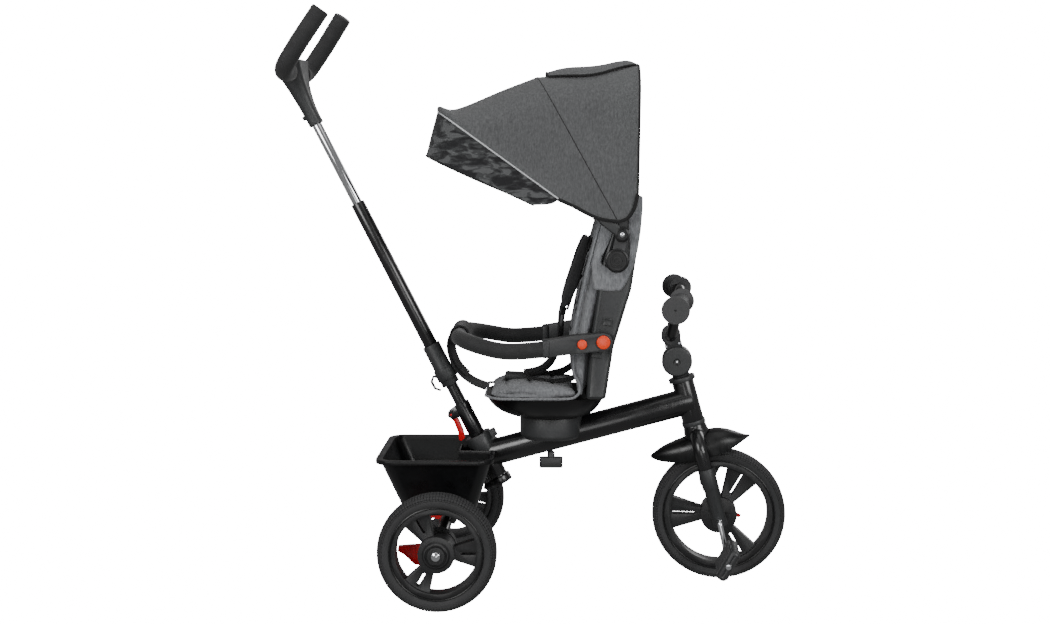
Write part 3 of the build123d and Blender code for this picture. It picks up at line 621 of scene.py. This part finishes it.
# Sockets that hold the front bow, and the caps of the canopy's pivots
tilt = joint_at("canopy_tilt", UP, LEFT)
fold = joint_at("canopy_fold_mid", UP, LEFT)
for word, hand in SIDES:
    socket = bevelled(plate(f"bow_socket_{word}", [(10, -9), (38, -10), (58, -8), (58, 8), (38, 10), (10, 9)],
                            hand * 128.4, hand * 139), 2.5, 3)
    finished(socket, moulded_nylon, "canopy_front", moved(fold, spin=-140), slot="black_plastic")
    rings = [(0, 0), (20.4, 0), (20.4, 1.6), (18.6, 2.6), (17.2, 2.6), (16.6, 1.2), (12.6, 1.2), (12, 2.6),
             (9.4, 2.6), (8.8, 1.0), (4.4, 1.0), (4.0, 3.0), (0, 3.2)]
    finished(turned(f"tilt_cap_{word}", rings), polished_abs, "canopy_base",
             moved(tilt, y=hand * 133.8) @ OUTWARD[hand], slot="black_plastic")
    collar = [(4.2, 0), (13, 0), (13.4, 0.8), (12.6, 2.4), (9.6, 3.2), (8.4, 2.2), (4.2, 2.2), (4.2, 0)]
    finished(turned(f"fold_collar_{word}", collar), polished_abs, "canopy_base",
             moved(fold, y=hand * 136.6) @ OUTWARD[hand], slot="black_plastic")
    dome = [(0, 0), (5.4, 0), (5.4, 1.8), (4.6, 3.2), (2.6, 4.2), (0, 4.6)]
    finished(turned(f"fold_rivet_{word}", dome, 32), chrome, "canopy_base",
             moved(fold, y=hand * 136.4) @ OUTWARD[hand], slot="chrome")

# ---- Backrest ----
shell_front = [(262, 358.5), (270, 466), (284, 560), (288, 600), (305, 660), (320, 690), (330, 720)]
shell_back = [(360, 720), (357, 660), (342, 557), (311, 454), (297, 358.5)]
moulding = bevelled(plate("backrest_moulding", shell_front + shell_back, -BACK_HALF, BACK_HALF), 6, 3)


def broad_side(face):
    """Whether a face is one of the moulding's two large sides."""
    return abs(face.normal.y) > 0.99 and face.area > 4000


inset_where(moulding, broad_side, 5, -2.2)
inset_where(moulding, broad_side, 7, 0)
inset_where(moulding, broad_side, 1.2, 1.6)
finished(moulding, moulded_nylon, "seat", trike, ["backrest_shell"])
for word, hand in SIDES:
    for part, x, z, long, tall in (("upper", 299, 499, 15, 13), ("lower", 281, 440, 19, 11)):
        catch = start(f"{part}_catch_{word}", "cube", size=1)
        catch.data.transform(Matrix.Diagonal((long, 3.2, tall, 1)))
        bevelled(catch, 1.0, 2)
        inset_where(catch, lambda face: abs(face.normal.y) > 0.99, 2.4, -1.2)
        finished(catch, moulded_nylon, "seat", moved(trike, x, hand * BACK_HALF, z, 12), slot="black_plastic")
    boss = [(0, 0), (15, 0), (15, 3.2), (13.4, 4.6), (0, 4.6)]
    finished(turned(f"arm_boss_{word}", boss, 48), moulded_nylon, "seat",
             moved(joint_at("bumper_lift", UP, LEFT), y=hand * BACK_HALF) @ OUTWARD[hand], slot="black_plastic")

# The cover's sleeve, pulled over the top of the shell, with an opening each side for the canopy's arm
sleeve = plate("cover_sleeve", [(274, 557), (300, 553), (323, 554), (333, 568), (345, 597), (353, 628),
                                (358, 662), (361, 700), (361, 724), (300, 724), (292, 690), (270, 604)],
               -SLEEVE_HALF, SLEEVE_HALF)
bevelled(sleeve, 5, 3)
opening = plate("opening_cutter", [(287, 603), (289, 616), (297, 632), (305, 650), (310, 672), (318, 700),
                                   (336, 700), (336, 660), (339, 626), (335, 603), (322, 595), (300, 595)],
                -140, 140)
bevelled(opening, 5, 3)
applied(sleeve, "BOOLEAN", object=opening, operation="DIFFERENCE", solver="EXACT")
bpy.data.objects.remove(opening)
bevelled(sleeve, 1.6, 2, angle=50)
finished(sleeve, seat_cloth, "seat", trike, slot="seat_fabric")

# ---- Liner ----
def channelled(piece, depth, lines):
    """Sew channels into a pad in place: lines(spot) gives the mm to a seam and the way it sinks."""
    back = trike.inverted()
    for vertex in piece.data.vertices:
        spot = back @ vertex.co
        sink, way = lines(spot)
        if sink < SEAM_REACH:
            vertex.co += Vector(way) * (depth * MM * (1 - (sink / SEAM_REACH) ** 2) ** 2)
    return piece


def back_seams(spot):
    """The backrest's seams: two upright ones and the rungs between them, on the front face."""
    facing = spot.x < 255 + max(0, spot.z - 500) * 0.24
    across = abs(abs(spot.y) - 62)
    rung = min(abs(spot.z - level) for level in (420, 470, 520, 570, 620)) if abs(spot.y) < 62 else 99
    return (min(across, rung), (1, 0, 0)) if facing else (99, (0, 0, 0))


def seat_seams(spot):
    """The seat's seams: two that run ahead and the rungs between them, on top."""
    across = abs(abs(spot.y) - 66)
    rung = min(abs(spot.x - level) for level in (118, 160, 202)) if abs(spot.y) < 66 else 99
    return (min(across, rung), (0, 0, -1)) if spot.z > 367 else (99, (0, 0, 0))


back_pad = plate("backrest_cushion", [(260, 360), (252, 360), (251, 380), (241, 402), (240, 466), (265, 588),
                                      (291, 690), (299, 720), (326, 720), (316, 690), (292, 588), (265, 466)],
                 -PAD_HALF, PAD_HALF)
bevelled(back_pad, 6, 2)
back_pad.data.transform(trike)
plumped(back_pad, 0.005, 0.005)
finished(channelled(back_pad, 4.0, back_seams), seat_cloth, "seat", None, ["backrest_pad"])

seat_pad = plate("seat_cushion", [(77, 360.5), (86, 366), (104, 372), (124, 376.5), (150, 378), (200, 376),
                                  (245, 371), (246, 362), (190, 359), (110, 358.5)], -PAD_HALF, PAD_HALF)
for vertex in seat_pad.data.vertices:
    vertex.co.y *= 1 - 0.2 * min(1, max(0, (112 - vertex.co.x) / 30)) ** 2
bevelled(seat_pad, 4, 2)
seat_pad.data.transform(trike)
plumped(seat_pad, 0.005, 0.005)
finished(channelled(seat_pad, 3.5, seat_seams), seat_cloth, "seat", None, ["seat_pad"])

liner_edge = [(80, 361), (96, 359), (140, 358.5), (190, 358.5), (226, 359), (241, 362), (250, 372),
              (249, 388), (240, 407), (238, 440), (241, 480), (262, 585), (288, 684)]
side = [(x, 110.5 - 27 * min(1, max(0, (114 - x) / 34)) ** 2, z)
        for x, z in (smooth(liner_edge, i / 60) for i in range(61))]
points = [(x, -y, z) for x, y, z in reversed(side)] + side
finished(cable("liner_piping", points, 2.6), seat_cloth, "seat", trike, slot="seat_fabric")

# ---- Harness ----
for word, hand in SIDES:
    pad = plate(f"shoulder_pad_{word}", [(270, 652), (259, 650), (217, 522), (226, 519), (248, 562)],
                hand * 52 - 18, hand * 52 + 18)
    bevelled(pad, 3, 2)
    pad.data.transform(trike)
    plumped(pad, 0.004, 0.003)
    finished(pad, dark_cloth, "seat", slot="webbing")
    under = ribbon(f"pad_backing_{word}", [(273, 648), (263, 620), (246, 566), (229, 516)],
                   lambda v, hand=hand: hand * 52, 38, 3.0)
    finished(under, webbing, "seat", trike, slot="webbing")
    tape = ribbon(f"shoulder_tape_{word}", [(224, 520), (219, 500), (217, 470), (211, 440), (199, 413),
                                            (178, 396), (148, 390)],
                  lambda v, hand=hand: hand * (52 - 36 * v), 23, 1.9, 60, lean=hand * 24)
    finished(tape, webbing, "seat", trike, slot="webbing")
    hip = ribbon(f"hip_tape_{word}", [(244, 398), (226, 388), (200, 383), (172, 384), (150, 388)],
                 lambda v, hand=hand: hand * (84 - 66 * v), 23, 1.9, 40, lean=hand * 26)
    finished(hip, webbing, "seat", trike, slot="webbing")
    slider = start(f"tape_slider_{word}", "cube", size=1)
    slider.data.transform(Matrix.Diagonal((5, 31, 20, 1)))
    bevelled(slider, 1.4, 2)
    inset_where(slider, lambda face: abs(face.normal.x) > 0.99, 3.2, -1.4)
    finished(slider, moulded_nylon, "seat", moved(trike, 218, hand * 51, 497, 8), slot="black_plastic")
buckle = start("harness_buckle", "cube", size=1)
buckle.data.transform(Matrix.Diagonal((50, 36, 13, 1)))
bevelled(buckle, 4, 3)
inset_where(buckle, lambda face: face.normal.z > 0.99, 4, -1.2)
inset_where(buckle, lambda face: face.normal.z > 0.99, 3, 2.0)
finished(buckle, moulded_nylon, "seat", moved(trike, 138, 0, 386, 3), ["harness", "harness_pads"],
         slot="black_plastic")
crotch_tape = ribbon("crotch_tape", [(108, 376), (118, 381), (128, 385)], lambda v: 0, 24, 2, 12)
finished(crotch_tape, webbing, "seat", trike, slot="webbing")

# ---- Bumper bar's foam, collars, loop and strap ----
def foam_at(x, y):
    """A point on the foam's centre line, which sags between the arms and the front."""
    return x, y, 443.4 - 0.071 * (x - 118) + 0.182 * hypot(x - 118, 25)


half_way = ([foam_at(190 - 4 * i, -134) for i in range(20)]
            + [foam_at(109 - 78 * sin(a), -56 - 78 * cos(a)) for a in (pi / 2 * i / 20 for i in range(21))])
line = half_way + [foam_at(31, y) for y in (-28, 0, 28)] + [(x, -y, z) for x, y, z in reversed(half_way)]
foam = finished(cable("bumper_foam_finished", line, 14.9, 8), grip_foam, "bumper_bar", trike, ["bumper_foam"])
for word, hand in SIDES:
    collar = plate(f"arm_collar_{word}", [(182, 436.5), (197, 437.5), (197, 470.5), (182, 469)],
                   hand * 118.5, hand * 149)
    finished(bevelled(collar, 5, 4), moulded_nylon, "bumper_bar", trike, slot="black_plastic")
bar = moved(trike, 31, 0, 468)
loop = [(14.6, -49), (16.8, -52), (18.9, -50), (18.4, -44), (17.8, -16), (18.3, 0), (17.8, 16), (18.4, 44),
        (18.9, 50), (16.8, 52), (14.6, 49)]
bar_loop = finished(turned("bar_loop", loop, 56), dark_cloth, "bumper_bar", bar @ ON_LEFT, slot="webbing")
strap = ribbon("crotch_strap_tape", [(14.2, 462), (10.5, 446), (13, 427), (20, 409), (30, 395), (42, 384),
                                     (58, 374), (79, 366)], lambda v: 0, 31, 3.0, 60, lean=-20)
finished(strap, dark_cloth, "crotch_strap", trike, ["crotch_strap"])
lining = ribbon("crotch_strap_lining", [(18.5, 456), (15, 444), (17.5, 428), (24, 412), (33.5, 399),
                                         (44, 389)], lambda v: 0, 26, 2.2, 50, lean=-20)
finished(lining, webbing, "crotch_strap", trike, slot="webbing")

# ---- Pedals ----
for word, hand in SIDES:
    spindle = Vector(joints[f"pedal_{word}_spin"]["pos_m"])
    here = moved(frame_at(spindle, joints["steering_turn"]["axis"], joints["front_wheel_spin"]["axis"]),
                 spin=-46.4)
    frame_part = start(f"pedal_body_{word}", "cube", size=1)
    frame_part.data.transform(Matrix.Diagonal((60, 82, 19, 1)))
    bevelled(frame_part, 7, 4)
    inset_where(frame_part, lambda face: abs(face.normal.y) > 0.99, 3, -2)
    finished(frame_part, moulded_nylon, f"pedal_{word}", here, [f"pedal_{word}"])
    for part, way in (("top", 1), ("bottom", -1)):
        tread = start(f"pedal_tread_{part}_{word}", "grid", x_subdivisions=6, y_subdivisions=9, size=1)
        tread.data.transform(Matrix.Translation((0, 0, way * 9.6)) @ Matrix.Diagonal((48, 70, way, 1)))
        clear_picks(tread)
        for face in tread.data.polygons:
            face.select = True
        bpy.ops.object.mode_set(mode="EDIT")
        bpy.ops.mesh.normals_make_consistent(inside=False)
        done()
        applied(tread, "SOLIDIFY", thickness=1.6, offset=0)
        clear_picks(tread)
        for face in tread.data.polygons:
            face.select = face.normal.z * way > 0.9
        bpy.ops.object.mode_set(mode="EDIT")
        bpy.ops.mesh.inset(thickness=0.9, depth=1.0, use_individual=True)
        done()
        finished(tread, grip_rubber, f"pedal_{word}", here, slot="black_plastic")

# ---- Screws and caps ----
screw = [(0, 0), (3.0, 0), (3.0, 0.9), (2.4, 1.7), (1.3, 1.9), (1.2, 1.1), (0, 1.1)]
cap_ring = [(4.6, 0), (6.4, 0), (6.4, 0.7), (5.6, 1.2), (4.6, 0.7), (4.6, 0)]
for word, hand in SIDES:
    for part, x, z in (("rear", -12, 334), ("front", 13, 334)):
        finished(turned(f"clamp_screw_{part}_{word}", screw, 24), zinc, "steering",
                 moved(steer, x, hand * 16.9, z) @ OUTWARD[hand], slot="zinc")
    finished(turned(f"knuckle_screw_{word}", screw, 24), chrome, "steering",
             moved(steer, 0, hand * 18.9, 301.4) @ OUTWARD[hand], slot="chrome")
    finished(turned(f"knuckle_ring_{word}", cap_ring, 32), polished_abs, "steering",
             moved(steer, 0, hand * 18.9, 301.4) @ OUTWARD[hand], slot="black_plastic")
    hub_ring = [(14.6, 0), (19.4, 0), (19.4, 0.6), (18.4, 1.4), (15.6, 1.4), (14.6, 0.6), (14.6, 0)]
    finished(turned(f"hub_ring_{word}", hub_ring, 64), polished_abs, f"rear_wheel_{word}",
             moved(joint_at(f"rear_wheel_{word}_spin", UP, LEFT), y=hand * 26.7) @ OUTWARD[hand],
             slot="rim_plastic")

# ---- Camera, light and floor ----
bpy.ops.object.select_all(action="DESELECT")
bpy.ops.object.camera_add(location=(axle.x + 0.1834, -2.4343, 0.7286),
                          rotation=(radians(84.78), 0, radians(0.77)))
camera = bpy.context.object
camera.data.lens, camera.data.sensor_width = 44.73, 36
bpy.context.scene.camera = camera

floor = start("studio_floor", "circle", vertices=96, radius=30, fill_type="NGON")
editing()
bpy.ops.mesh.inset(thickness=20)
done()
floor.data.materials.append(studio_floor)
backdrop = start("studio_backdrop", "uv_sphere", segments=48, ring_count=24, radius=45)
backdrop.data.materials.append(studio_white)
for set_piece in (floor, backdrop):
    set_piece.visible_diffuse = set_piece.visible_glossy = set_piece.visible_transmission = False
backdrop.visible_shadow = False

for name, place, turn, size, power in (
        ("softbox_over", (0.2, -0.6, 3.0), (12, 0, 0), 2.6, 22),
        ("softbox_camera_left", (-1.9, -2.6, 1.7), (62, 0, -38), 1.6, 68),
        ("softbox_camera_right", (2.2, -2.6, 1.5), (66, 0, 42), 1.6, 60),
        ("softbox_low", (0.1, -2.9, 0.35), (95, 0, 0), 1.2, 10),
        ("softbox_far_side", (2.2, 2.4, 1.8), (-60, 0, -40), 1.8, 34)):
    bpy.ops.object.light_add(type="AREA", location=place, rotation=[radians(angle) for angle in turn])
    light = bpy.context.object
    light.name, light.data.size, light.data.energy = name, size, power

world = bpy.data.worlds.new("studio_air")
world.use_nodes = True
bpy.context.scene.world = world
world.node_tree.nodes["Background"].inputs["Color"].default_value = (1, 1, 1, 1)
world.node_tree.nodes["Background"].inputs["Strength"].default_value = 0.26
